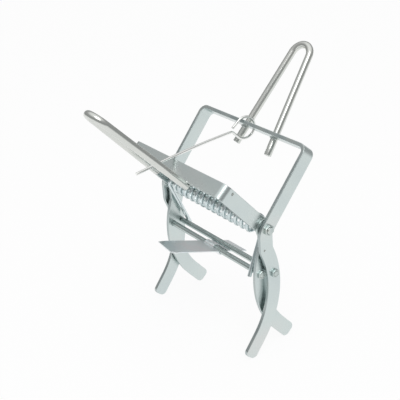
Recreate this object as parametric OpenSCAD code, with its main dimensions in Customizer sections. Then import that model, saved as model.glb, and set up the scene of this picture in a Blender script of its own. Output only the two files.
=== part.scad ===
// Scissor-jaw mole trap with a coil spring between two strap frames.
// Origin: on the ground below the middle of the pivot axle, level with the claw tips.
// X runs along the axle, Y is front (minus) to back (plus), Z is up. Modules are drawn about the axle
// and then raised onto the claw tips.
// Frame A leans back and is the outer frame, frame B leans forward and sits inside it.

/* [Frames] */
// Overall width of the outer frame
frame_w = 126; // [116:1:136]
// Width of the flat strip
strip_w = 12; // [11:0.5:13]
// Thickness of the flat strip
strip_t = 3; // [2.5:0.1:3.5]
// Free gap between the outer and inner frame on each side
frame_gap = 2; // [1.8:0.1:2.4]
// Length from the pivot to the outer face of the top bar
leg_len = 68; // [60:1:76]
// Lean of each frame from upright with the jaws closed, in degrees
leg_lean = 41.6; // [36:0.2:46]
// Inner radius of the two corners of the outer frame
corner_r = 4; // [3:0.5:6]
// Length from the pivot to the outer face of the bar of the inner, front frame
front_len = 55; // [54:0.5:60]
// How much more upright the legs of the front frame are, in degrees
front_step = 1.4; // [0:0.2:2]
// Inner radius of the two corners of the front frame
front_corner_r = 2.5; // [2:0.5:6]

/* [Jaws] */
// Centre-line radius of the bend at the pivot
neck_r = 7; // [6.7:0.1:8]
// Straight drop below the pivot bend
neck_drop = 10.5; // [9:0.5:12]
// Centre-line radius of the outward kink
kink_r = 10; // [8:0.5:12]
// Outward slant after the kink, in degrees
kink_angle = 20.5; // [18:0.5:23]
// Straight stretch after the kink
kink_len = 3; // [1:0.5:6]
// Centre-line radius of the curved claw
claw_r = 70.8; // [66:0.2:76]
// Inward slant at the end of the claw, in degrees
claw_angle = 39.5; // [36:0.5:43]
// Straight stretch at the end of the claw
claw_len = 17.8; // [14:0.2:20]
// Corner radius of the claw tip
tip_r = 4; // [2:0.5:5]

/* [Handles] */
// Diameter of the handle rod
handle_d = 6; // [5:0.5:7]
// Offset of the handle rod from the middle of the bar, towards its outer edge
handle_off = 7.3; // [6.5:0.1:8]
// Half the distance between the handle legs at the bar
handle_half = 17.2; // [15:0.2:20]
// Convergence of each handle leg towards the bow, in degrees
handle_taper = 6.5; // [4:0.5:8]
// Inward tilt of the handle against its frame, in degrees
handle_tilt = 1.2; // [0:0.1:2]
// Inward tilt of the front handle against its frame, in degrees
front_tilt = -0.5; // [-1:0.1:1.5]
// Distance from the pivot to the outside of the handle bow
handle_reach = 146.5; // [136:0.5:156]
// Distance from the pivot to the free ends of the back handle's legs
handle_foot = 50.8; // [46:0.2:51]
// How far the feet of the front handle reach below the length of its frame
front_foot_drop = 4.2; // [3.8:0.1:5]

/* [Pivot] */
// Diameter of the pivot axle
axle_d = 6; // [5:0.5:7]
// Diameter of the spacer washers
washer_d = 16; // [14:0.5:18]
// Width across flats of the pivot nuts
pivot_nut_af = 7.6; // [7.4:0.1:9]
// Thickness of the pivot nuts
pivot_nut_h = 2.4; // [1.8:0.1:3]
// Length of the axle end that shows beyond each nut
axle_proud = 0.8; // [0.4:0.1:1.5]

/* [Cross rods] */
// Diameter of the two cross rods
rod_d = 4.5; // [4:0.1:5]
// Height of the cross rods below the pivot
rod_drop = 39.2; // [37:0.2:42]
// Distance of each cross rod from the centre plane
rod_y = 4.5; // [4.3:0.1:4.7]
// Width across flats of the rod nuts
rod_nut_af = 6.2; // [5.8:0.1:7]
// Thickness of the nuts on the outer rod
rod_nut_h = 2.2; // [1.6:0.1:3]

/* [Torsion spring] */
// Diameter of the spring wire
wire_d = 3.4; // [3:0.1:3.6]
// Mean radius of the spring coil
coil_r = 6.8; // [6.4:0.1:7.4]
// Free gap between the left end of the coil and the inner frame
coil_gap_left = 1.8; // [1:0.1:5]
// Free gap between the right end of the coil and the inner frame
coil_gap_right = 2.9; // [1:0.1:5]
// Number of half turns between the two straight legs
half_turns = 29; // [25:2:31]
// Length of the spring legs beyond the point where they touch the cross rods
leg_over = 4.5; // [3:0.5:7]

/* [Trigger plate] */
// Width of the trigger plate
plate_w = 23.6; // [20:0.2:30]
// Thickness of the trigger plate
plate_t = 1; // [1:0.1:1.6]
// Length of the plate in front of its rod
plate_front = 40; // [34:0.5:46]
// Length of the bent lip at the front
lip_len = 10.5; // [6:0.5:12]
// Downward bend of the lip, in degrees
lip_angle = 4; // [2:1:40]
// How much shorter the lip is at its left end
lip_slant = 3.8; // [0:0.1:5]
// Rounding of the right front corner of the lip
lip_corner = 4; // [1:0.5:6]
// Length of the plate behind its rod
plate_back = 27; // [22:0.5:30]
// Diameter of the small hole in the plate
plate_hole_d = 2.4; // [1.5:0.1:4]
// Distance of the small hole behind the rod
plate_hole_back = 21; // [17:0.5:23]

/* [Latch pin] */
// Diameter of the latch pin wire
pin_d = 2.2; // [2:0.1:2.4]
// Mean radius of the pin eye that hangs on the bar
eye_r = 9.1; // [8.8:0.1:9.6]
// Position of the middle of the eye along the bar
eye_x = -10.2; // [-11:0.1:-9.4]
// Turn of the eye against the bar, seen from above, in degrees
eye_turn = 8.6; // [5:0.2:11]
// Free gap between the eye and the corners of the bar that it hangs on
eye_gap = 0.4; // [0.3:0.05:0.6]
// Angle of the free straight end of the eye, measured from the back upwards
eye_tail_angle = 130; // [126:1:134]
// Length of the free straight end of the eye
eye_tail = 7.4; // [5:0.2:8]
// Distance of the pin bend in front of the middle of the eye
pin_bend_y = 12; // [11.6:0.1:13.4]
// Drop of the pin bend below the middle of the eye
pin_bend_z = 0.5; // [0:0.1:1.2]
// Radius of the pin bend
pin_bend_r = 4; // [3:0.5:6]
// Position along the bar where the pin crosses the other frame
pin_over_x = -7.3; // [-8:0.1:-6]
// Position of the pin tip along the bar
pin_tip_x = -5.6; // [-8:0.2:-2]
// Distance of the pin tip in front of the bar that it rests on
pin_tip_y = 35; // [30:0.5:38]
// Rise of the pin tip above the crossing point
pin_tip_z = -2; // [-3:0.1:1]

/* [Hidden] */
$fn = 64;
tiny = 0.01;
seat_gap = 0.02;
run_gap = 0.05;
rest_gap = 0.15;
side_gap = 0.1;
hex_sides = 6;
overrun = 1;
wire_joint = 0.15;
wire_step = 0.02;
arc_step = 2.5;
tip_step = 10;
lip_bend_r = 2;
half_turn = 180;
quarter_turn = 90;
half_a = frame_w / 2;
half_b = half_a - strip_t - frame_gap;
bar_u = leg_len - strip_t / 2;
leg_dir = [0, sin(leg_lean), cos(leg_lean)];
bar_a = bar_u * leg_dir;
front_lean = leg_lean - front_step;
front_foot = front_len - front_foot_drop;
handle_rock = front_step / 2;
bar_b_edge_y = -front_len * sin(front_lean) + strip_w / 2 * cos(front_lean);
bar_b_edge_z = front_len * cos(front_lean) + strip_w / 2 * sin(front_lean);
washer_t = frame_gap - 2 * run_gap;
plate_rest_gap = 0.55;
plate_shift = -1.4;
plate_tilt = asin((rod_d / 2 + plate_t / 2 + plate_rest_gap) / (2 * rod_y));
knuckle_in = rod_d / 2 + run_gap;
knuckle_out = knuckle_in + plate_t;
knuckle_left = -7.6;
knuckle_right = 3.9;
hole_x = 0.6;
rod_nut_b_h = frame_gap - 2 * side_gap - run_gap;
coil_reach = half_b - strip_t - wire_d / 2;
leg_swing = asin((coil_r + rod_d / 2 + wire_d / 2 + seat_gap) / norm([rod_y, rod_drop]));
leg_tangent = atan(rod_y / rod_drop) + leg_swing;
leg_reach = norm([rod_y, rod_drop]) * cos(leg_swing) + leg_over;
coil_left = coil_gap_left - coil_reach;
coil_right = coil_reach - coil_gap_right;
coil_step = (coil_right - coil_left) / half_turns;

steel = [0.72, 0.77, 0.78];
steel_dark = [0.6, 0.65, 0.67];
steel_light = [0.8, 0.84, 0.84];

// Plane and frame helpers

// Turns a shape drawn in a plane so that its x is Y, its y is Z and its thickness runs along X
module upright() {
    rotate([quarter_turn, 0, quarter_turn]) children();
}

// Leans a shape back by an angle, so that its own z runs along the leg
module lean(angle) {
    rotate([-angle, 0, 0]) children();
}

// Swaps front and back
module front() {
    mirror([0, 1, 0]) children();
}

// Places a cylinder between two points
module bar_between(a, b, d) {
    v = b - a;
    translate(a)
        rotate([0, acos(v[2] / norm(v)), atan2(v[1], v[0])])
            cylinder(d = d, h = norm(v));
}

// Jaw path, drawn in the leaning frame: first number across the strip to the back, second up the leg.
// A state is [across, along, heading], with the heading measured from straight down the leg to the front.

function heading(h) = [-sin(h), -cos(h)];
function inward(h) = [-cos(h), sin(h)];
function place(s) = [s[0], s[1]];
function ahead(s, len) = concat(place(s) + len * heading(s[2]), [s[2]]);
function side_of(s, h) = h > s[2] ? 1 : -1;
function hub(s, r, h) = place(s) + side_of(s, h) * r * inward(s[2]);
function turned(s, r, h) = concat(hub(s, r, h) - side_of(s, h) * r * inward(h), [h]);
function backwards(list) = [for (i = [len(list) - 1:-1:0]) list[i]];

// Points along one edge of a bend, off being the distance from the centre line to the front
function bend_edge(s, r, h, off) =
    let (n = ceil(abs(h - s[2]) / arc_step))
    [for (i = [0:n])
        let (a = s[2] + (h - s[2]) * i / n)
        hub(s, r, h) + (off - side_of(s, h) * r) * inward(a)];

function drop_state(l) = ahead(turned([0, 0, 0], neck_r, -l), neck_drop);
function claw_state(l) = ahead(turned(drop_state(l), kink_r, -l - kink_angle), kink_len);
function tip_state(l) = ahead(turned(claw_state(l), claw_r, claw_angle - l), claw_len - tip_r);

// Height of the pivot axle above the lowest point of the claw tips
stand_z = max([for (p = tip_corner(leg_lean, -1, quarter_turn))
    p[0] * sin(leg_lean) - p[1] * cos(leg_lean)]);

// Raises a shape drawn about the axle onto the claw tips
module raised() {
    translate([0, 0, stand_z]) children();
}

// One edge of the jaw from the pivot to the claw, for a leg with the lean l
function jaw_edge(l, off) = concat(
    bend_edge([0, 0, 0], neck_r, -l, off),
    bend_edge(drop_state(l), kink_r, -l - kink_angle, off),
    bend_edge(claw_state(l), claw_r, claw_angle - l, off));

// Points around one rounded corner of the claw tip, from one angle to another
function tip_corner(l, side, from) =
    let (n = ceil(quarter_turn / tip_step), tip = tip_state(l), h = tip[2])
    [for (i = [0:n])
        let (a = from + quarter_turn * i / n)
        place(tip) + side * (strip_w / 2 - tip_r) * inward(h)
            + tip_r * (cos(a) * inward(h) + sin(a) * heading(h))];

// One flat side of a frame, from the corner bend down to the claw tip
module side_plate(l, top) {
    linear_extrude(strip_t)
        polygon(concat(
            [[-strip_w / 2, top]],
            jaw_edge(l, strip_w / 2),
            tip_corner(l, 1, 0),
            tip_corner(l, -1, quarter_turn),
            backwards(jaw_edge(l, -strip_w / 2)),
            [[strip_w / 2, top]]));
}

// The bent strap of a frame, leaning back by l, with its two jaws
// len is the length of its legs and r its inner corner radius
module strap(half, l, len, r) {
    bend_r = r + strip_t;
    top = len - bend_r;
    lean(l) {
        for (side = [0, 1])
            mirror([side, 0, 0]) {
                translate([half - strip_t, 0, 0]) upright() side_plate(l, top);
                translate([half - bend_r, strip_w / 2, top])
                    rotate([quarter_turn, 0, 0])
                        rotate_extrude(angle = quarter_turn)
                            translate([r, 0]) square([strip_t, strip_w]);
            }
        translate([bend_r - half, -strip_w / 2, len - strip_t])
            cube([2 * (half - bend_r), strip_w, strip_t]);
    }
}

// The axle hole, the rod holes and the handle seats of a frame that leans back
module frame_cuts(half, axle_gap, rock, tilt, foot_at) {
    along_x(half + overrun, axle_d + 2 * axle_gap);
    translate([0, rod_y, -rod_drop]) along_x(half + overrun, rod_d + 2 * seat_gap);
    handle_legs(rock, tilt, foot_at, handle_d + 2 * seat_gap);
}

// A round bar centred on the X axis
module along_x(half, d) {
    rotate([0, quarter_turn, 0]) cylinder(d = d, h = 2 * half, center = true);
}

// Handle

bow_r = (handle_half - (handle_reach - handle_d / 2 - bar_u) * tan(handle_taper))
    / (1 / cos(handle_taper) - tan(handle_taper));
bow_u = handle_reach - handle_d / 2 - bow_r;

// Places the handle plane on the outer side of the bar of a frame that leans back: rock makes the whole
// plane more upright about the axle, tilt turns it inwards about the bar
module handle_plane(rock, tilt) {
    lean(leg_lean - rock)
        translate([0, handle_off, bar_u])
            rotate([tilt, 0, 0]) children();
}

// The two straight legs of the handle
module handle_legs(rock, tilt, foot_at, d) {
    joint = [bow_r * cos(handle_taper), 0, bow_u - bar_u + bow_r * sin(handle_taper)];
    foot_z = foot_at - bar_u;
    foot = [joint[0] + (joint[2] - foot_z) * tan(handle_taper), 0, foot_z];
    handle_plane(rock, tilt)
        for (side = [0, 1])
            mirror([side, 0, 0]) bar_between(foot, joint, d);
}

// The whole handle of the frame that leans back
module handle_body(rock, tilt, foot_at) {
    handle_legs(rock, tilt, foot_at, handle_d);
    handle_plane(rock, tilt)
        translate([0, 0, bow_u - bar_u])
            rotate([quarter_turn, 0, 0])
                rotate([0, 0, handle_taper]) wire_bow(bow_r, handle_d, half_turn - 2 * handle_taper, 1);
}

// Sub-parts

module jaw_frame_a() {
    color(steel) raised()
        difference() {
            strap(half_a, leg_lean, leg_len, corner_r);
            frame_cuts(half_a, seat_gap, 0, handle_tilt, handle_foot);
        }
}

module jaw_frame_b() {
    color(steel) raised() front()
        difference() {
            strap(half_b, front_lean, front_len, front_corner_r);
            frame_cuts(half_b, run_gap, handle_rock, front_tilt, front_foot);
        }
}

module handle_a() {
    color(steel_light) raised() handle_body(0, handle_tilt, handle_foot);
}

module handle_b() {
    color(steel_light) raised() front() handle_body(handle_rock, front_tilt, front_foot);
}

module pivot_axle() {
    color(steel_dark) raised() along_x(half_a + pivot_nut_h + axle_proud, axle_d);
}

// A six-sided nut on a bar along X, on the side given by its sign
module nut(side, x, af, h, bore) {
    translate([side > 0 ? x : -x - h, 0, 0])
        rotate([0, quarter_turn, 0])
            difference() {
                cylinder(d = af / cos(half_turn / hex_sides), h = h, $fn = hex_sides);
                translate([0, 0, -overrun]) cylinder(d = bore, h = h + 2 * overrun);
            }
}

module pivot_nut(side) {
    color(steel_light) raised() nut(side, half_a + tiny, pivot_nut_af, pivot_nut_h, axle_d + 2 * seat_gap);
}

module pivot_nut_left() {
    pivot_nut(-1);
}

module pivot_nut_right() {
    pivot_nut(1);
}

// A round washer between the two frames
module spacer_washer(side) {
    color(steel_dark) raised()
        translate([side * (half_b + frame_gap / 2), 0, 0])
            difference() {
                along_x(washer_t / 2, washer_d);
                along_x(washer_t, axle_d + 2 * seat_gap);
            }
}

module spacer_washer_left() {
    spacer_washer(-1);
}

module spacer_washer_right() {
    spacer_washer(1);
}

module cross_rod_a() {
    color(steel_dark) raised()
        translate([0, rod_y, -rod_drop]) along_x(half_a + rod_nut_h + side_gap, rod_d);
}

module cross_rod_b() {
    color(steel_dark) raised() translate([0, -rod_y, -rod_drop]) along_x(half_b + rod_nut_b_h, rod_d);
}

module rod_a_nut(side) {
    color(steel_light) raised()
        translate([0, rod_y, -rod_drop])
            nut(side, half_a + tiny, rod_nut_af, rod_nut_h, rod_d + 2 * seat_gap);
}

module rod_a_nut_left() {
    rod_a_nut(-1);
}

module rod_a_nut_right() {
    rod_a_nut(1);
}

module rod_b_nut(side) {
    color(steel_light) raised()
        translate([0, -rod_y, -rod_drop])
            nut(side, half_b + tiny, rod_nut_af, rod_nut_b_h, rod_d + 2 * seat_gap);
}

module rod_b_nut_left() {
    rod_b_nut(-1);
}

module rod_b_nut_right() {
    rod_b_nut(1);
}

// Round pieces of wire reach a little way into their neighbours and are a hair thinner, so that the
// joints are clean: straight pieces have the full diameter, odd arcs are two steps thinner than that.
function joint_angle(r) = wire_joint / r * half_turn / PI;

// A round piece of wire drawn flat from angle zero to a given angle, with its joints
module wire_bow(r, d, angle, steps) {
    grow = joint_angle(r);
    rotate([0, 0, -grow])
        rotate_extrude(angle = angle + 2 * grow) translate([r, 0]) circle(d = d - steps * wire_step);
}

// Half a turn of wire about X. The half ring is tilted so that its two ends are one step apart along X.
module half_coil(x, r, step, d, first_angle, steps) {
    slant = atan(step / (2 * r));
    translate([x + step / 2, 0, 0])
        upright()
            rotate([0, 0, first_angle])
                rotate([0, slant, 0])
                    rotate([0, 0, half_turn])
                        wire_bow(norm([r, step / 2]), d, half_turn, steps);
}

// A piece of a flat ring of wire about X, between two angles measured from the back upwards
module flat_coil(x, r, d, from, to) {
    translate([x, 0, 0]) upright() rotate([0, 0, from]) wire_bow(r, d, to - from, 2);
}

module torsion_spring() {
    color(steel_light) raised() {
        for (i = [0:half_turns - 1])
            half_coil(coil_left + i * coil_step, coil_r, coil_step, wire_d,
                (1 - i % 2) * half_turn, 1 + i % 2);
        flat_coil(coil_left, coil_r, wire_d, half_turn, half_turn + leg_tangent);
        flat_coil(coil_right, coil_r, wire_d, -leg_tangent, 0);
        spring_leg(coil_left, 1);
        spring_leg(coil_right, -1);
    }
}

// A straight spring leg, from the coil down past the cross rod on the side given by its sign
module spring_leg(x, side) {
    top = [x, -side * coil_r * cos(leg_tangent), -coil_r * sin(leg_tangent)];
    run = [0, side * sin(leg_tangent), -cos(leg_tangent)];
    bar_between(top, top + leg_reach * run, wire_d);
}

// Trigger plate, drawn with its rod on X, its front towards minus Y and its face up
module back_plate() {
    translate([-plate_w / 2, plate_root, -plate_t / 2]) cube([plate_w, plate_back - plate_root, plate_t]);
}

// Half a knuckle ring between two places along the rod, above the plate or below it
module knuckle(x0, x1, above) {
    reach = knuckle_out + overrun;
    translate([x0, 0, 0])
        rotate([0, quarter_turn, 0])
            difference() {
                cylinder(r = knuckle_out, h = x1 - x0);
                translate([0, 0, -overrun]) cylinder(r = knuckle_in, h = x1 - x0 + 2 * overrun);
                translate([above ? plate_t / 2 : -plate_t / 2 - reach, -reach, -overrun])
                    cube([reach, 2 * reach, x1 - x0 + 2 * overrun]);
            }
}

// Distance from the rod axis where the plate meets its knuckles
plate_root = sqrt(knuckle_in * knuckle_in - plate_t * plate_t / 4) + plate_t / 4;

// The front of the plate in side view, with the bend and the lip
function lip_bend(r) =
    let (n = ceil(lip_angle / arc_step))
    [for (i = [0:n])
        let (a = quarter_turn + lip_angle * i / n)
        [-plate_front + r * cos(a), -lip_bend_r + r * sin(a)]];
function lip_edge(r) =
    [-plate_front - r * sin(lip_angle) - lip_len * cos(lip_angle),
        -lip_bend_r + r * cos(lip_angle) - lip_len * sin(lip_angle)];

module front_plate() {
    upper = lip_bend_r + plate_t / 2;
    lower = lip_bend_r - plate_t / 2;
    translate([-plate_w / 2, 0, 0])
        upright()
            linear_extrude(plate_w)
                polygon(concat(
                    [[-plate_root, -plate_t / 2], [-plate_root, plate_t / 2]],
                    lip_bend(upper),
                    [lip_edge(upper), lip_edge(lower)],
                    backwards(lip_bend(lower))));
}

// The wedge that is cut from the front of the lip, so that its edge is slanted
module lip_wedge() {
    edge = lip_edge(lip_bend_r);
    half = plate_w / 2;
    slope = lip_slant / plate_w;
    first = -quarter_turn - atan(slope);
    n = ceil(-first / arc_step);
    corner_x = half - lip_corner;
    corner_y = lip_corner * (slope + norm([1, slope]));
    translate([0, edge[0] + tiny, edge[1]])
        rotate([lip_angle, 0, 0])
            linear_extrude(2 * plate_t, center = true)
                polygon(concat(
                    [[-half - overrun, slope * (plate_w + overrun)]],
                    [for (i = [0:n])
                        let (a = first - first * i / n)
                        [corner_x + lip_corner * cos(a), corner_y + lip_corner * sin(a)]],
                    [[half + overrun, corner_y], [half + overrun, -lip_len], [-half - overrun, -lip_len]]));
}

module trigger_plate() {
    half = plate_w / 2;
    color(steel) raised()
        translate([plate_shift, -rod_y, -rod_drop])
            rotate([-plate_tilt, 0, 0])
                difference() {
                    union() {
                        front_plate();
                        back_plate();
                        knuckle(-half, knuckle_left, false);
                        knuckle(knuckle_left, knuckle_right, true);
                        knuckle(knuckle_right, half, false);
                    }
                    lip_wedge();
                    translate([hole_x, plate_hole_back, -plate_t])
                        cylinder(d = plate_hole_d, h = 2 * plate_t);
                }
}

// Latch pin

// The eye lies in an upright plane, turned a little against the bar, and hangs on the bar's upper corners
eye_hang = sqrt(pow(eye_r - pin_d / 2 - eye_gap, 2) - pow(strip_w / 2, 2)) - strip_t / 2;
eye_middle = bar_a + [eye_x, 0, 0] - eye_hang * leg_dir;

// A point in the plane of the eye, by its distance behind and above the middle of the eye
function on_eye(back, up) = eye_middle + [back * sin(eye_turn), back * cos(eye_turn), up];

// The bend point, the crossing point and the tip, all on the middle of the wire
pin_bend = on_eye(-pin_bend_y, -pin_bend_z);
pin_over = [pin_over_x, bar_b_edge_y, bar_b_edge_z + pin_d / 2 + rest_gap];
pin_tip = [pin_tip_x, bar_b_edge_y - pin_tip_y, pin_over[2] + pin_tip_z];

function unit(v) = v / norm(v);

// Middle of the circle through three points
function circle_middle(a, b, c) =
    let (u = b - a, w = c - a, n = cross(u, w))
    a + (cross(n, u) * (w * w) + cross(w, n) * (u * u)) / (2 * (n * n));

// Turns a ring drawn flat so that its middle is m, its axis n and its start point lies towards a
module ring_frame(m, n, a) {
    tip_over = acos(n[2]);
    spin = atan2(n[1], n[0]);
    flat_x = [cos(tip_over) * cos(spin), cos(tip_over) * sin(spin), -sin(tip_over)];
    flat_y = cross(n, flat_x);
    r = unit(a - m);
    translate(m)
        rotate([0, tip_over, spin])
            rotate([0, 0, atan2(r * flat_y, r * flat_x)]) children();
}

// An arc of wire from a to b about the middle m
module wire_arc(a, b, m, d, steps) {
    n = unit(cross(a - m, b - m));
    ring_frame(m, n, a)
        wire_bow(norm(a - m), d, acos(unit(a - m) * unit(b - m)), steps);
}

// The angle on the eye where the straight shank leaves it, measured from the back upwards
shank_angle = atan2(-pin_bend_z, -pin_bend_y) + acos(eye_r / norm([pin_bend_y, pin_bend_z]));
eye_point = on_eye(eye_r * cos(shank_angle), eye_r * sin(shank_angle));

// The bow of the shank and the small bend that joins it to the eye
bow_middle = circle_middle(pin_bend, pin_over, pin_tip);
bow_axis = unit(cross(pin_bend - bow_middle, pin_tip - bow_middle));
bow_dir = unit(cross(bow_axis, pin_bend - bow_middle));
eye_dir = unit(pin_bend - eye_point);
bend_angle = acos(eye_dir * bow_dir);
bend_back = pin_bend_r * tan(bend_angle / 2);
bend_in = pin_bend - bend_back * eye_dir;
bend_out = pin_bend + bend_back * bow_dir;
bend_middle = bend_in + pin_bend_r * unit(bow_dir - (bow_dir * eye_dir) * eye_dir);

module latch_pin() {
    color(steel_light) raised() {
        bar_between(eye_point, bend_in, pin_d);
        wire_arc(bend_in, bend_out, bend_middle, pin_d, 2);
        shank();
        eye();
    }
}

// The bowed shank, from the bend to the tip
module shank() {
    bow_mid = circle_middle(bend_out, bend_out + (pin_over - pin_bend), pin_tip);
    wire_arc(bend_out, pin_tip, bow_mid, pin_d, 1);
}

// The open eye around the bar, from the shank under the bar and over it to the free straight end
module eye() {
    tail_y = eye_r * cos(eye_tail_angle);
    tail_z = eye_r * sin(eye_tail_angle);
    translate(eye_middle)
        rotate([0, 0, -eye_turn]) flat_coil(0, eye_r, pin_d, shank_angle, eye_tail_angle);
    bar_between(on_eye(tail_y, tail_z),
        on_eye(tail_y - eye_tail * sin(eye_tail_angle), tail_z + eye_tail * cos(eye_tail_angle)), pin_d);
}

jaw_frame_a();
jaw_frame_b();
handle_a();
handle_b();
pivot_axle();
pivot_nut_left();
pivot_nut_right();
spacer_washer_left();
spacer_washer_right();
cross_rod_a();
cross_rod_b();
rod_a_nut_left();
rod_a_nut_right();
rod_b_nut_left();
rod_b_nut_right();
torsion_spring();
trigger_plate();
latch_pin();
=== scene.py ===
import math

import bpy
from mathutils import Matrix, Vector


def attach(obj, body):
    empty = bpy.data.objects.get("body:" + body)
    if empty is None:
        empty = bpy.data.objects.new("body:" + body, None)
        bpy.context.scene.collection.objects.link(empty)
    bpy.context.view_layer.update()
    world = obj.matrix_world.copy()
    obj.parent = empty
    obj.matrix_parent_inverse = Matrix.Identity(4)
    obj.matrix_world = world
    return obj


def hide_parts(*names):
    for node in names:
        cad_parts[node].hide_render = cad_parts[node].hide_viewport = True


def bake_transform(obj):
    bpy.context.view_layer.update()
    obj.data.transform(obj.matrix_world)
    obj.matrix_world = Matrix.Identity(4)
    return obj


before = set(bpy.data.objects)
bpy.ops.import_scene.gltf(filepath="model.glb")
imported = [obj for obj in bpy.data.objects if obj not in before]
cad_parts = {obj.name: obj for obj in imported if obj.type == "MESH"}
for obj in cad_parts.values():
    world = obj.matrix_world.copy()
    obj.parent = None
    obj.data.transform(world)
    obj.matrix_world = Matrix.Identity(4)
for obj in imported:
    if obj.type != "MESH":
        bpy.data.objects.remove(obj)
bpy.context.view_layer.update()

MM = 0.001
AXLE_Z = 107.209 * MM
LEAN = math.radians(41.6)
FRONT_LEAN = math.radians(40.2)
FRONT_HANDLE_LEAN = math.radians(40.9)
FRONT_LEG = 55 * MM
BAR_U, FRONT_BAR_U = 66.5 * MM, 53.5 * MM
MERGE_REACH = 0.000002


# Camera at the photograph's angle

CAMERA_PLACE = Vector((0.4974, -0.3683, 0.4277))
CAMERA_ANGLES = (54.58, 27.19, -4.5)
SENSOR_WIDTH = 36
FOCAL_PIXELS, PICTURE_PIXELS = 883.27, 400


def add_camera():
    azimuth, elevation, roll = (math.radians(angle) for angle in CAMERA_ANGLES)
    forward = Vector((
        -math.sin(azimuth) * math.cos(elevation),
        math.cos(azimuth) * math.cos(elevation),
        -math.sin(elevation)))
    level = Vector((math.cos(azimuth), math.sin(azimuth), 0))
    upward = level.cross(forward)
    right = math.cos(roll) * level + math.sin(roll) * upward
    up = -math.sin(roll) * level + math.cos(roll) * upward
    data = bpy.data.cameras.new("camera")
    data.sensor_width = SENSOR_WIDTH
    data.lens = SENSOR_WIDTH * FOCAL_PIXELS / PICTURE_PIXELS
    data.clip_start, data.clip_end = 0.01, 20
    camera = bpy.data.objects.new("camera", data)
    bpy.context.scene.collection.objects.link(camera)
    turn = Matrix((right, up, -forward)).transposed().to_4x4()
    camera.matrix_world = Matrix.Translation(CAMERA_PLACE) @ turn
    bpy.context.scene.camera = camera


# Materials

DRIFT_DETAIL = 3
MARKS_SCALE, MARKS_DETAIL = 900, 4
GLOSS_SPREAD = 0.06
RELIEF_STRENGTH, RELIEF_DEPTH = 0.35, 0.000004
# Colour of the painted shade inside a punch dent
DENT_PAINTED_SHADE = (0.36, 0.38, 0.36, 1)
MARK_FLOOR = 0.55
DENT_DEPTH = 0.0006
MOSTLY = 0.5


def new_material(name):
    material = bpy.data.materials.new(name)
    material.use_nodes = True
    nodes = material.node_tree.nodes
    nodes.clear()
    out = nodes.new("ShaderNodeOutputMaterial")
    shader = nodes.new("ShaderNodeBsdfPrincipled")
    material.node_tree.links.new(shader.outputs["BSDF"], out.inputs["Surface"])
    return material, nodes, material.node_tree.links, shader


def zinc(name, dark, light, warm, rough, scale):
    """Bright zinc plate: a drifting tint, faint rolling marks and small changes of gloss."""
    material, nodes, links, shader = new_material(name)
    shader.inputs["Metallic"].default_value = 1
    place = nodes.new("ShaderNodeTexCoord")
    drift = nodes.new("ShaderNodeTexNoise")
    drift.inputs["Scale"].default_value = scale
    drift.inputs["Detail"].default_value = DRIFT_DETAIL
    links.new(place.outputs["Object"], drift.inputs["Vector"])
    tint = nodes.new("ShaderNodeValToRGB")
    tint.color_ramp.elements[0].position = 0.3
    tint.color_ramp.elements[0].color = (*dark, 1)
    tint.color_ramp.elements[1].position = 0.7
    tint.color_ramp.elements[1].color = (*warm, 1)
    middle = tint.color_ramp.elements.new(0.5)
    middle.color = (*light, 1)
    links.new(drift.outputs["Fac"], tint.inputs["Fac"])
    links.new(tint.outputs["Color"], shader.inputs["Base Color"])

    marks = nodes.new("ShaderNodeTexNoise")
    marks.inputs["Scale"].default_value = MARKS_SCALE
    marks.inputs["Detail"].default_value = MARKS_DETAIL
    links.new(place.outputs["Object"], marks.inputs["Vector"])
    gloss = nodes.new("ShaderNodeMapRange")
    gloss.inputs["To Min"].default_value = rough - GLOSS_SPREAD
    gloss.inputs["To Max"].default_value = rough + GLOSS_SPREAD
    links.new(marks.outputs["Fac"], gloss.inputs["Value"])
    links.new(gloss.outputs["Result"], shader.inputs["Roughness"])

    relief = nodes.new("ShaderNodeBump")
    relief.inputs["Strength"].default_value = RELIEF_STRENGTH
    relief.inputs["Distance"].default_value = RELIEF_DEPTH
    links.new(marks.outputs["Fac"], relief.inputs["Height"])
    links.new(relief.outputs["Normal"], shader.inputs["Normal"])
    return material


strap_zinc = zinc(
    "strap_zinc", (0.60, 0.67, 0.67), (0.64, 0.71, 0.70), (0.68, 0.71, 0.70), 0.30, 24)
# Painted shade: a darker copy of the strap plate, used on the strap edges
painted_shade_edge_zinc = zinc(
    "painted_shade_edge_zinc", (0.42, 0.48, 0.48), (0.48, 0.54, 0.54), (0.54, 0.58, 0.56), 0.36, 60)
rod_zinc = zinc(
    "rod_zinc", (0.62, 0.65, 0.62), (0.68, 0.70, 0.67), (0.72, 0.73, 0.70), 0.20, 40)
bar_zinc = zinc(
    "bar_zinc", (0.42, 0.50, 0.49), (0.50, 0.57, 0.56), (0.55, 0.61, 0.59), 0.24, 40)
fitting_zinc = zinc(
    "fitting_zinc", (0.46, 0.53, 0.52), (0.56, 0.62, 0.61), (0.62, 0.65, 0.62), 0.24, 120)
spring_zinc = zinc(
    "spring_zinc", (0.55, 0.64, 0.66), (0.66, 0.74, 0.75), (0.72, 0.78, 0.78), 0.17, 90)
sheet_zinc = zinc(
    "sheet_zinc", (0.84, 0.91, 0.94), (0.89, 0.94, 0.95), (0.92, 0.91, 0.93), 0.30, 45)
pin_wire = zinc(
    "pin_wire", (0.80, 0.82, 0.80), (0.86, 0.87, 0.85), (0.88, 0.88, 0.86), 0.15, 60)
weld_grey = zinc(
    "weld_grey", (0.48, 0.53, 0.53), (0.58, 0.62, 0.61), (0.70, 0.72, 0.70), 0.30, 500)


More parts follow.
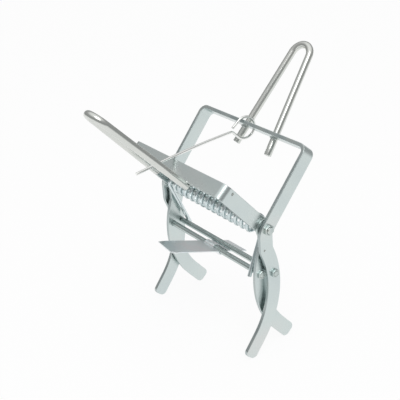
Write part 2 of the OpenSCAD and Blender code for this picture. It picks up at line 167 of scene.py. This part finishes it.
def punch_dent_painted_shade(material, place, radius):
    """A small round dent from a punch, with painted shade that makes it a little darker than the
    plate round it.
    """
    nodes, links = material.node_tree.nodes, material.node_tree.links
    shader = nodes["Principled BSDF"]
    plain_colour = shader.inputs["Base Color"].links[0].from_socket
    plain_normal = shader.inputs["Normal"].links[0].from_socket
    here = nodes.new("ShaderNodeVectorMath")
    here.operation = "DISTANCE"
    here.inputs[1].default_value = place
    links.new(nodes["Texture Coordinate"].outputs["Object"], here.inputs[0])
    dip = nodes.new("ShaderNodeMapRange")
    dip.interpolation_type = "SMOOTHSTEP"
    dip.inputs["From Min"].default_value = radius
    dip.inputs["From Max"].default_value = radius * MARK_FLOOR
    links.new(here.outputs["Value"], dip.inputs["Value"])
    # Painted shade: the plate colour is mixed toward a darker grey inside the dent
    shade = nodes.new("ShaderNodeMix")
    shade.data_type = "RGBA"
    links.new(dip.outputs["Result"], shade.inputs["Factor"])
    colour_in = [socket for socket in shade.inputs if socket.type == "RGBA"]
    colour_out = [socket for socket in shade.outputs if socket.type == "RGBA"]
    links.new(plain_colour, colour_in[0])
    colour_in[1].default_value = DENT_PAINTED_SHADE
    links.new(colour_out[0], shader.inputs["Base Color"])
    dent = nodes.new("ShaderNodeBump")
    dent.invert = True
    dent.inputs["Distance"].default_value = DENT_DEPTH
    links.new(dip.outputs["Result"], dent.inputs["Height"])
    links.new(plain_normal, dent.inputs["Normal"])
    links.new(dent.outputs["Normal"], shader.inputs["Normal"])


# Two punch dents on the straps, each darkened with painted shade
punch_dent_painted_shade(strap_zinc, (58 * MM, -27.2 * MM, 144.6 * MM), 1.3 * MM)
punch_dent_painted_shade(strap_zinc, (63 * MM, -4.2 * MM, 90.9 * MM), 1.0 * MM)


def finish(piece, material):
    piece.data.materials.clear()
    piece.data.materials.append(material)


def paint_edge_shade(piece, lean, bar_start):
    """Gives the slit edges of a strap a darker, rougher copy of the plate; the darker colour is
    painted shade. Its flat faces look sideways, or along the leg where the bar starts."""
    piece.data.materials.append(painted_shade_edge_zinc)
    along = Vector((0, math.sin(lean), math.cos(lean)))
    for face in piece.data.polygons:
        up_the_leg = (face.center - Vector((0, 0, AXLE_Z))).dot(along)
        flat_leg = abs(face.normal.x) > MOSTLY
        flat_bar = up_the_leg > bar_start and abs(face.normal.dot(along)) > MOSTLY
        face.material_index = 0 if flat_leg or flat_bar else 1


# Pieces that stand for the plain solids

FLAT_ANGLE = math.radians(0.4)
SOFT_SEGMENTS, SOFT_ANGLE = 3, math.radians(30)
SMOOTH_ANGLE = math.radians(35)
FLAT_WEIGHT = 60


def only(piece):
    bpy.ops.object.select_all(action="DESELECT")
    piece.select_set(True)
    bpy.context.view_layer.objects.active = piece


def apply_modifier(piece, kind, **values):
    only(piece)
    modifier = piece.modifiers.new(kind.lower(), kind)
    for name, value in values.items():
        setattr(modifier, name, value)
    bpy.ops.object.modifier_apply(modifier=modifier.name)


def merged_copy(node, name):
    """A copy of a plain solid with its triangles joined and its flat faces whole."""
    piece = bpy.data.objects.new(name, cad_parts[node].data.copy())
    bpy.context.scene.collection.objects.link(piece)
    only(piece)
    bpy.ops.object.mode_set(mode="EDIT")
    bpy.ops.mesh.select_all(action="SELECT")
    bpy.ops.mesh.remove_doubles(threshold=MERGE_REACH)
    bpy.ops.mesh.dissolve_limited(angle_limit=FLAT_ANGLE)
    bpy.ops.object.mode_set(mode="OBJECT")
    return piece


def soften(piece, width):
    """Rounds the sharp edges and keeps the flats flat."""
    apply_modifier(piece, "BEVEL", width=width, segments=SOFT_SEGMENTS, limit_method="ANGLE",
                   angle_limit=SOFT_ANGLE, use_clamp_overlap=False)
    smooth(piece, SMOOTH_ANGLE)
    apply_modifier(piece, "WEIGHTED_NORMAL", keep_sharp=True, weight=FLAT_WEIGHT)


def smooth(piece, angle):
    only(piece)
    bpy.ops.object.shade_smooth_by_angle(angle=angle)


def stand_for(piece, node, body, material):
    finish(piece, material)
    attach(piece, body)
    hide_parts(node)


SOFTENED = [
    ("jaw_frame_a", "frame_a", strap_zinc, "plated_strap", 0.45),
    ("jaw_frame_b", "frame_b", strap_zinc, "plated_strap", 0.45),
    ("trigger_plate", "trigger", sheet_zinc, "plated_sheet", 0.2),
    ("pivot_nut_left", "frame_a", fitting_zinc, "plated_fittings", 0.4),
    ("pivot_nut_right", "frame_a", fitting_zinc, "plated_fittings", 0.4),
    ("spacer_washer_left", "frame_a", fitting_zinc, "plated_fittings", 0.2),
    ("spacer_washer_right", "frame_a", fitting_zinc, "plated_fittings", 0.2),
    ("rod_a_nut_left", "frame_a", fitting_zinc, "plated_fittings", 0.35),
    ("rod_a_nut_right", "frame_a", fitting_zinc, "plated_fittings", 0.35),
    ("rod_b_nut_left", "frame_b", fitting_zinc, "plated_fittings", 0.3),
    ("rod_b_nut_right", "frame_b", fitting_zinc, "plated_fittings", 0.3),
    ("pivot_axle", "frame_a", fitting_zinc, "plated_rod", 0.6),
    ("cross_rod_a", "frame_a", bar_zinc, "plated_rod", 0.4),
    ("cross_rod_b", "frame_b", bar_zinc, "plated_rod", 0.4),
]
STRAPS = {
    "jaw_frame_a": (LEAN, BAR_U - 7 * MM),
    "jaw_frame_b": (-FRONT_LEAN, FRONT_BAR_U - 6 * MM),
}
for node, body, material, slot, edge in SOFTENED:
    piece = merged_copy(node, node + "_finished")
    soften(piece, edge * MM)
    stand_for(piece, node, body, material)
    # Painted shade on the strap edges through a darker copy of the plate
    if node in STRAPS:
        paint_edge_shade(piece, *STRAPS[node])


# Round wire

END_SEGMENTS, END_ANGLE = 3, math.radians(60)
WIRE_SMOOTH = math.radians(50)


def pick_end(piece, place):
    """Selects the one point of a wire path that is nearest to a place."""
    bpy.ops.object.mode_set(mode="OBJECT")
    for part in (*piece.data.polygons, *piece.data.edges, *piece.data.vertices):
        part.select = False
    min(piece.data.vertices, key=lambda v: (v.co - Vector(place)).length).select = True
    bpy.ops.object.mode_set(mode="EDIT")
    bpy.ops.mesh.select_mode(type="VERT")


def one_point(name, place):
    bpy.ops.object.select_all(action="DESELECT")
    bpy.ops.mesh.primitive_plane_add(size=0.001, location=(0, 0, 0))
    piece = bpy.context.object
    piece.name = name
    bpy.ops.object.mode_set(mode="EDIT")
    bpy.ops.mesh.select_all(action="SELECT")
    bpy.ops.mesh.merge(type="CENTER")
    bpy.ops.transform.translate(value=place)
    bpy.ops.object.mode_set(mode="OBJECT")
    return piece


def wire_through(name, points, diameter, sides):
    """Round wire through a row of points, drawn by extruding one point after the other."""
    piece = one_point(name, points[0])
    bpy.ops.object.mode_set(mode="EDIT")
    for here, there in zip(points, points[1:]):
        bpy.ops.mesh.extrude_region_move(
            TRANSFORM_OT_translate={"value": Vector(there) - Vector(here)})
    bpy.ops.object.mode_set(mode="OBJECT")
    wire_from_path(piece, diameter, sides)
    return piece


def wire_from_path(piece, diameter, sides):
    """Turns a path of edges into round wire with closed ends."""
    only(piece)
    bpy.ops.object.convert(target="CURVE")
    piece.data.bevel_depth = diameter / 2
    piece.data.bevel_resolution = sides
    piece.data.use_fill_caps = True
    piece.data.twist_mode = "MINIMUM"
    bpy.ops.object.convert(target="MESH")
    piece.data.name = piece.name
    bpy.ops.object.mode_set(mode="EDIT")
    bpy.ops.mesh.select_all(action="SELECT")
    bpy.ops.mesh.remove_doubles(threshold=MERGE_REACH)
    bpy.ops.mesh.normals_make_consistent(inside=False)
    bpy.ops.object.mode_set(mode="OBJECT")


def soften_ends(piece, width):
    """Rounds the cut ends of a wire and shades its sides smooth."""
    apply_modifier(piece, "BEVEL", width=width, segments=END_SEGMENTS, limit_method="ANGLE",
                   angle_limit=END_ANGLE, use_clamp_overlap=False)
    smooth(piece, WIRE_SMOOTH)


def place_by_hand(piece, turn):
    """Moves a piece that was drawn flat to its place, and keeps the place in its mesh."""
    only(piece)
    piece.matrix_world = turn
    bpy.ops.object.transform_apply(location=True, rotation=True, scale=True)


# Handles: one rod bent to a narrow loop, welded to the outer edge of each bar

HANDLE_D, HANDLE_HALF, HANDLE_OFF = 6 * MM, 17.2 * MM, 7.3 * MM
HANDLE_TAPER = math.radians(6.5)
HANDLE_TILT, FRONT_TILT = math.radians(1.2), math.radians(-0.5)
HANDLE_REACH, HANDLE_FOOT = 146.5 * MM, 50.8 * MM
HANDLE_SIDES, LEG_STEPS, BOW_STEPS = 7, 12, 36
WELD_D, WELD_R, WELD_LEVEL = 1.3 * MM, 3.3 * MM, 1.7 * MM
WELD_SIDES, WELD_REACH, WELD_STEP = 3, 64, 8
RIPPLE_SCALE, RIPPLE_HEIGHT = 0.0012, 0.6 * MM
WELD_SMOOTH = math.radians(80)
bow_r = ((HANDLE_HALF - (HANDLE_REACH - HANDLE_D / 2 - BAR_U) * math.tan(HANDLE_TAPER))
         / (1 / math.cos(HANDLE_TAPER) - math.tan(HANDLE_TAPER)))
bow_z = HANDLE_REACH - HANDLE_D / 2 - bow_r - BAR_U


def handle_place(front):
    """The handle plane of the frame that leans back, or of the one that leans to the front."""
    way = -1 if front else 1
    lean, tilt = (FRONT_HANDLE_LEAN, FRONT_TILT) if front else (LEAN, HANDLE_TILT)
    return (Matrix.Translation((0, 0, AXLE_Z))
            @ Matrix.Rotation(-way * lean, 4, "X")
            @ Matrix.Translation((0, way * HANDLE_OFF, BAR_U))
            @ Matrix.Rotation(way * tilt, 4, "X"))


def handle_points():
    joint_x = bow_r * math.cos(HANDLE_TAPER)
    joint_z = bow_z + bow_r * math.sin(HANDLE_TAPER)
    foot_z = HANDLE_FOOT - BAR_U
    foot_x = joint_x + (joint_z - foot_z) * math.tan(HANDLE_TAPER)
    leg = [(foot_x + (joint_x - foot_x) * i / LEG_STEPS, 0,
            foot_z + (joint_z - foot_z) * i / LEG_STEPS) for i in range(LEG_STEPS)]
    bow = [(bow_r * math.cos(a), 0, bow_z + bow_r * math.sin(a)) for a in (
        HANDLE_TAPER + (math.pi - 2 * HANDLE_TAPER) * i / BOW_STEPS for i in range(BOW_STEPS + 1))]
    return leg + bow + [(-x, y, z) for x, y, z in reversed(leg)]


def make_handle(node, body, front):
    piece = wire_through(node + "_rod", handle_points(), HANDLE_D, HANDLE_SIDES)
    soften_ends(piece, 0.5 * MM)
    place_by_hand(piece, handle_place(front))
    stand_for(piece, node, body, rod_zinc)


def make_weld(name, body, front, side, above):
    """A rippled bead that runs half round a handle leg where it meets the bar."""
    level = (WELD_LEVEL if above else -WELD_LEVEL) + (FRONT_BAR_U - BAR_U if front else 0)
    leg_x = side * (HANDLE_HALF - level * math.tan(HANDLE_TAPER))
    way = -1 if front else 1
    turns = [math.radians(a) for a in range(-WELD_REACH, WELD_REACH + 1, WELD_STEP)]
    points = [(leg_x + WELD_R * math.sin(a), -way * WELD_R * math.cos(a), level) for a in turns]
    piece = wire_through(name, points, WELD_D, WELD_SIDES)
    texture = bpy.data.textures.new(name + "_ripple", "CLOUDS")
    texture.noise_scale = RIPPLE_SCALE
    texture.noise_depth = 1
    apply_modifier(piece, "SUBSURF", levels=1, render_levels=1)
    apply_modifier(piece, "DISPLACE", texture=texture, texture_coords="LOCAL",
                   strength=RIPPLE_HEIGHT, mid_level=0.5)
    smooth(piece, WELD_SMOOTH)
    place_by_hand(piece, handle_place(front))
    finish(piece, weld_grey)
    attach(piece, body)


for node, body, front in (("handle_a", "frame_a", False), ("handle_b", "frame_b", True)):
    make_handle(node, body, front)
    for side, sides_name in ((-1, "left"), (1, "right")):
        for above, level_name in ((True, "top"), (False, "under")):
            make_weld(f"weld_{body}_{sides_name}_{level_name}", body, front, side, above)


# Latch pin: an open eye that hangs on the bar, a small bend and a long bowed shank

PIN_D, EYE_R, EYE_X, EYE_GAP = 2.2 * MM, 9.1 * MM, -10.2 * MM, 0.4 * MM
EYE_TURN, EYE_TAIL_ANGLE, EYE_TAIL = math.radians(8.6), math.radians(130), 7.4 * MM
STRIP_HALF_W, STRIP_HALF_T = 6 * MM, 1.5 * MM
PIN_SIDES, PIN_REST_GAP = 5, 0.15 * MM
PIN_BEND_Y, PIN_BEND_Z, PIN_BEND_R = -12 * MM, -0.5 * MM, 4 * MM
PIN_OVER_X, PIN_TIP_X, PIN_TIP_OUT, PIN_TIP_DROP = -7.3 * MM, -5.6 * MM, 35 * MM, 2 * MM
TAIL_STEPS, EYE_STEPS, BEND_STEPS, SHANK_STEPS = 6, 44, 10, 24
eye_hang = math.sqrt((EYE_R - PIN_D / 2 - EYE_GAP) ** 2 - STRIP_HALF_W ** 2) - STRIP_HALF_T
eye_middle = Vector((
    EYE_X, (BAR_U - eye_hang) * math.sin(LEAN), (BAR_U - eye_hang) * math.cos(LEAN)))


def circle_middle(a, b, c):
    u, w = b - a, c - a
    n = u.cross(w)
    to_middle = n.cross(u) * w.length_squared + w.cross(n) * u.length_squared
    return a + to_middle / (2 * n.length_squared)


def arc_points(a, b, middle, steps):
    """Points on the short arc from a to b about a middle, without the first one."""
    start, end = a - middle, b - middle
    axis = start.cross(end).normalized()
    whole = start.angle(end)
    return [middle + Matrix.Rotation(whole * i / steps, 3, axis) @ start
            for i in range(1, steps + 1)]


def on_eye(back, up):
    """A point in the plane of the eye, by its distance behind and above the middle of the eye."""
    return eye_middle + Vector((back * math.sin(EYE_TURN), back * math.cos(EYE_TURN), up))


def pin_points():
    """The middle of the wire from the free end of the eye to the tip of the shank."""
    edge_y = -FRONT_LEG * math.sin(FRONT_LEAN) + STRIP_HALF_W * math.cos(FRONT_LEAN)
    edge_z = FRONT_LEG * math.cos(FRONT_LEAN) + STRIP_HALF_W * math.sin(FRONT_LEAN)
    bend = on_eye(PIN_BEND_Y, PIN_BEND_Z)
    over = Vector((PIN_OVER_X, edge_y, edge_z + PIN_D / 2 + PIN_REST_GAP))
    tip = Vector((PIN_TIP_X, edge_y - PIN_TIP_OUT, over.z - PIN_TIP_DROP))
    shank = (math.atan2(PIN_BEND_Z, PIN_BEND_Y)
             + math.acos(EYE_R / math.hypot(PIN_BEND_Y, PIN_BEND_Z)))

    tail_y, tail_z = EYE_R * math.cos(EYE_TAIL_ANGLE), EYE_R * math.sin(EYE_TAIL_ANGLE)
    points = [on_eye(tail_y - run * math.sin(EYE_TAIL_ANGLE),
                     tail_z + run * math.cos(EYE_TAIL_ANGLE))
              for run in (EYE_TAIL * (1 - i / TAIL_STEPS) for i in range(TAIL_STEPS))]
    points += [on_eye(EYE_R * math.cos(a), EYE_R * math.sin(a)) for a in (
        EYE_TAIL_ANGLE + (shank - EYE_TAIL_ANGLE) * i / EYE_STEPS for i in range(EYE_STEPS + 1))]

    bow_mid = circle_middle(bend, over, tip)
    bow_axis = (bend - bow_mid).cross(tip - bow_mid).normalized()
    bow_run = bow_axis.cross(bend - bow_mid).normalized()
    eye_run = (bend - points[-1]).normalized()
    back = PIN_BEND_R * math.tan(eye_run.angle(bow_run) / 2)
    bend_in, bend_out = bend - back * eye_run, bend + back * bow_run
    bend_mid = bend_in + PIN_BEND_R * (bow_run - bow_run.dot(eye_run) * eye_run).normalized()
    points.append(bend_in)
    points += arc_points(bend_in, bend_out, bend_mid, BEND_STEPS)
    shank_mid = circle_middle(bend_out, bend_out + (over - bend), tip)
    points += arc_points(bend_out, tip, shank_mid, SHANK_STEPS)
    return [p + Vector((0, 0, AXLE_Z)) for p in points]


pin = wire_through("latch_pin_wire", pin_points(), PIN_D, PIN_SIDES)
soften_ends(pin, 0.3 * MM)
stand_for(pin, "latch_pin", "latch", pin_wire)


# Torsion spring: a smooth helix with straight legs

WIRE_D = 3.4 * MM
COIL_R = 6.8 * MM
COIL_LEFT = -51.5 * MM
COIL_RIGHT = 50.4 * MM
HALF_TURNS = 29
ROD_Y, ROD_DROP, ROD_D = 4.5 * MM, 39.2 * MM, 4.5 * MM
LEG_OVER = 4.5 * MM
SEAT_GAP, STEPS_PER_HALF_TURN, LEG_BEND_STEPS = 0.02 * MM, 14, 4
SPRING_SIDES, BLEND_IN = 4, 1.5 * MM
leg_swing = math.asin(
    (COIL_R + ROD_D / 2 + WIRE_D / 2 + SEAT_GAP) / math.hypot(ROD_Y, ROD_DROP))
leg_tangent = math.atan(ROD_Y / ROD_DROP) + leg_swing
leg_reach = math.hypot(ROD_Y, ROD_DROP) * math.cos(leg_swing) + LEG_OVER


def make_spring():
    piece = one_point("spring_wire_coil", (COIL_LEFT, -COIL_R, 0))
    apply_modifier(piece, "SCREW", axis="X", angle=-HALF_TURNS * math.pi, iterations=1,
                   screw_offset=COIL_RIGHT - COIL_LEFT, steps=HALF_TURNS * STEPS_PER_HALF_TURN,
                   render_steps=HALF_TURNS * STEPS_PER_HALF_TURN, use_merge_vertices=False)
    ends = (
        (COIL_LEFT, -COIL_R, -1, (0, math.sin(leg_tangent), -math.cos(leg_tangent))),
        (COIL_RIGHT, COIL_R, 1, (0, -math.sin(leg_tangent), -math.cos(leg_tangent))))
    for x, y, way, run in ends:
        pick_end(piece, (x, y, 0))
        bpy.ops.mesh.spin(
            steps=LEG_BEND_STEPS, angle=way * leg_tangent, center=(x, 0, 0), axis=(1, 0, 0))
        bpy.ops.mesh.extrude_region_move(
            TRANSFORM_OT_translate={"value": Vector(run) * leg_reach})
    bpy.ops.mesh.select_all(action="SELECT")
    bpy.ops.mesh.remove_doubles(threshold=MERGE_REACH)
    bpy.ops.transform.translate(value=(0, 0, AXLE_Z))
    bpy.ops.object.mode_set(mode="OBJECT")
    wire_from_path(piece, WIRE_D, SPRING_SIDES)
    smooth(piece, WIRE_SMOOTH)
    finish(piece, spring_zinc)
    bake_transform(piece)
    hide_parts("torsion_spring")


make_spring()


# Room: a white floor, a soft grey studio that is brightest overhead, and one large soft lamp

FLOOR_SIZE, FLOOR_ROUGH = 8, 0.9
FLOOR_NEAR, FLOOR_FAR = (0.97, 0.97, 0.97, 1), (0.36, 0.37, 0.37, 1)
FALLOFF_MIDDLE, FALLOFF_START, FALLOFF_END = (-0.35, 0.2, 0), 0.86, 1.5
FLOOR_SHARE, FLOOR_LIFT = 0.92, 1.03
STUDIO_LOW, STUDIO_HIGH = (0.34, 0.35, 0.35, 1), (1, 1, 1, 1)
STUDIO_STOPS = ((0.5, 0.42), (0.64, 0.62), (0.8, 0.92))


def seen_white(nodes, links, shaded, colour):
    """Shows the floor's plain colour to the camera and in mirrors. The rest keeps its shadow."""
    path = nodes.new("ShaderNodeLightPath")
    seen = nodes.new("ShaderNodeMath")
    seen.operation = "MAXIMUM"
    links.new(path.outputs["Is Camera Ray"], seen.inputs[0])
    links.new(path.outputs["Is Glossy Ray"], seen.inputs[1])
    through = nodes.new("ShaderNodeMath")
    through.operation = "MAXIMUM"
    links.new(seen.outputs["Value"], through.inputs[0])
    links.new(path.outputs["Is Transmission Ray"], through.inputs[1])
    part = nodes.new("ShaderNodeMath")
    part.operation = "MULTIPLY"
    part.inputs[1].default_value = FLOOR_SHARE
    links.new(through.outputs["Value"], part.inputs[0])
    plain = nodes.new("ShaderNodeEmission")
    plain.inputs["Strength"].default_value = FLOOR_LIFT
    links.new(colour.outputs["Color"], plain.inputs["Color"])
    mix = nodes.new("ShaderNodeMixShader")
    links.new(part.outputs["Value"], mix.inputs["Fac"])
    links.new(shaded.outputs["BSDF"], mix.inputs[1])
    links.new(plain.outputs["Emission"], mix.inputs[2])
    return mix


def add_floor():
    """A floor that is white round the trap and falls off to the grey of the studio further out."""
    bpy.ops.object.select_all(action="DESELECT")
    bpy.ops.mesh.primitive_plane_add(size=FLOOR_SIZE, location=(0, 0, 0))
    floor = bpy.context.object
    floor.name = "floor"
    material, nodes, links, shader = new_material("floor_white")
    place = nodes.new("ShaderNodeTexCoord")
    reach = nodes.new("ShaderNodeVectorMath")
    reach.operation = "DISTANCE"
    reach.inputs[1].default_value = FALLOFF_MIDDLE
    links.new(place.outputs["Object"], reach.inputs[0])
    falloff = nodes.new("ShaderNodeMapRange")
    falloff.inputs["From Min"].default_value = FALLOFF_START
    falloff.inputs["From Max"].default_value = FALLOFF_END
    links.new(reach.outputs["Value"], falloff.inputs["Value"])
    shade = nodes.new("ShaderNodeValToRGB")
    shade.color_ramp.elements[0].color = FLOOR_NEAR
    shade.color_ramp.elements[1].color = FLOOR_FAR
    links.new(falloff.outputs["Result"], shade.inputs["Fac"])
    links.new(shade.outputs["Color"], shader.inputs["Base Color"])
    shader.inputs["Roughness"].default_value = FLOOR_ROUGH
    shader.inputs["Specular IOR Level"].default_value = 0
    mix = seen_white(nodes, links, shader, shade)
    links.new(mix.outputs["Shader"], nodes["Material Output"].inputs["Surface"])
    floor.data.materials.append(material)


def add_studio():
    world = bpy.data.worlds.new("studio")
    bpy.context.scene.world = world
    world.use_nodes = True
    nodes, links = world.node_tree.nodes, world.node_tree.links
    way = nodes.new("ShaderNodeTexCoord")
    height = nodes.new("ShaderNodeSeparateXYZ")
    links.new(way.outputs["Generated"], height.inputs["Vector"])
    ramp = nodes.new("ShaderNodeValToRGB")
    stops = ramp.color_ramp.elements
    stops[0].position, stops[0].color = 0, STUDIO_LOW
    stops[1].position, stops[1].color = 1, STUDIO_HIGH
    for place, level in STUDIO_STOPS:
        stops.new(place).color = (level, level, level, 1)
    links.new(height.outputs["Z"], ramp.inputs["Fac"])
    links.new(ramp.outputs["Color"], nodes["Background"].inputs["Color"])


def add_lamp(name, place, target, size, watts):
    data = bpy.data.lights.new(name, "AREA")
    data.shape = "RECTANGLE"
    data.size, data.size_y = size
    data.energy = watts
    lamp = bpy.data.objects.new(name, data)
    bpy.context.scene.collection.objects.link(lamp)
    lamp.location = place
    lamp.rotation_mode = "QUATERNION"
    lamp.rotation_quaternion = (Vector(target) - Vector(place)).to_track_quat("-Z", "Y")
    lamp.visible_camera = False


add_camera()
add_floor()
add_studio()
add_lamp("soft_lamp", (0.50, -0.33, 1.15), (0, 0, 0.1), (0.7, 0.7), 3.6)

bpy.context.scene.view_settings.view_transform = "Standard"
